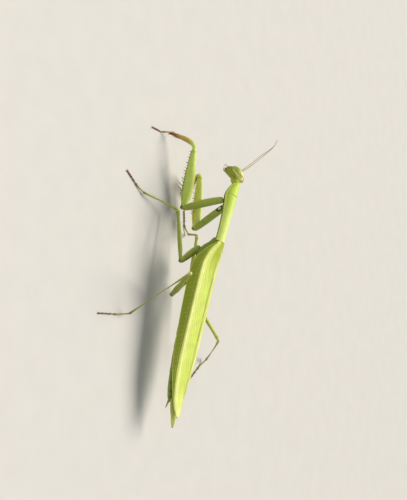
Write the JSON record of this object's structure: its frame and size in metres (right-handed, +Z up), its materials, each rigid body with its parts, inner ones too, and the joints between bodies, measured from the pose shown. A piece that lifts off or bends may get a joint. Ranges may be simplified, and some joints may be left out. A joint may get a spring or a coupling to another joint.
{
  "type": "praying mantis",
  "caption": "Life-size still model of a green praying mantis standing on all its feet, wings folded, head turned to its right",
  "frame": {"origin": "on the floor, under the middle of the bounding box", "axes": "-Y is where the mantis faces, +X is its left side, +Z is up; the body runs along Y"},
  "size_m": [0.0488, 0.0756, 0.0285],
  "materials": {
    "head_green": "smooth waxy green cuticle",
    "eye": "glossy green compound eye with a pale top",
    "antenna": "thin matte straw-brown feeler",
    "prothorax_green": "smooth satin yellow-green cuticle",
    "body_green": "satin darker green cuticle",
    "wing_green": "leathery satin yellow-green fore wing with raised veins",
    "hindwing": "thin pale yellow-green hind wing membrane",
    "leg_green": "satin green cuticle with dark-tipped spines",
    "tibia": "satin olive cuticle",
    "tarsus": "satin red-brown cuticle"
  },
  "bodies": {
    "root": {"head": "head_green", "mouthparts": "head_green", "neck": "head_green", "eye_left": "eye", "eye_right": "eye", "antenna_left": "antenna", "antenna_right": "antenna", "pronotum": "prothorax_green", "thorax": "body_green", "abdomen_front": "body_green", "abdomen_rear": "body_green", "cercus_left": "body_green", "cercus_right": "body_green", "tegmen_left": "wing_green", "tegmen_right": "wing_green", "hindwing_left": "hindwing", "hindwing_right": "hindwing", "fore_coxa_left": "leg_green", "fore_femur_left": "leg_green", "fore_tibia_left": "tibia", "fore_tarsus_left": "tarsus", "fore_claw_left": "tarsus", "fore_coxa_right": "leg_green", "fore_femur_right": "leg_green", "fore_tibia_right": "tibia", "fore_tarsus_right": "tarsus", "fore_claw_right": "tarsus", "mid_coxa_left": "leg_green", "mid_femur_left": "leg_green", "mid_tibia_left": "tibia", "mid_tarsus_left": "tarsus", "mid_coxa_right": "leg_green", "mid_femur_right": "leg_green", "mid_tibia_right": "tibia", "mid_tarsus_right": "tarsus", "hind_coxa_left": "leg_green", "hind_femur_left": "leg_green", "hind_tibia_left": "tibia", "hind_tarsus_left": "tarsus", "hind_coxa_right": "leg_green", "hind_femur_right": "leg_green", "hind_tibia_right": "tibia", "hind_tarsus_right": "tarsus"}
  },
  "joints": []
}
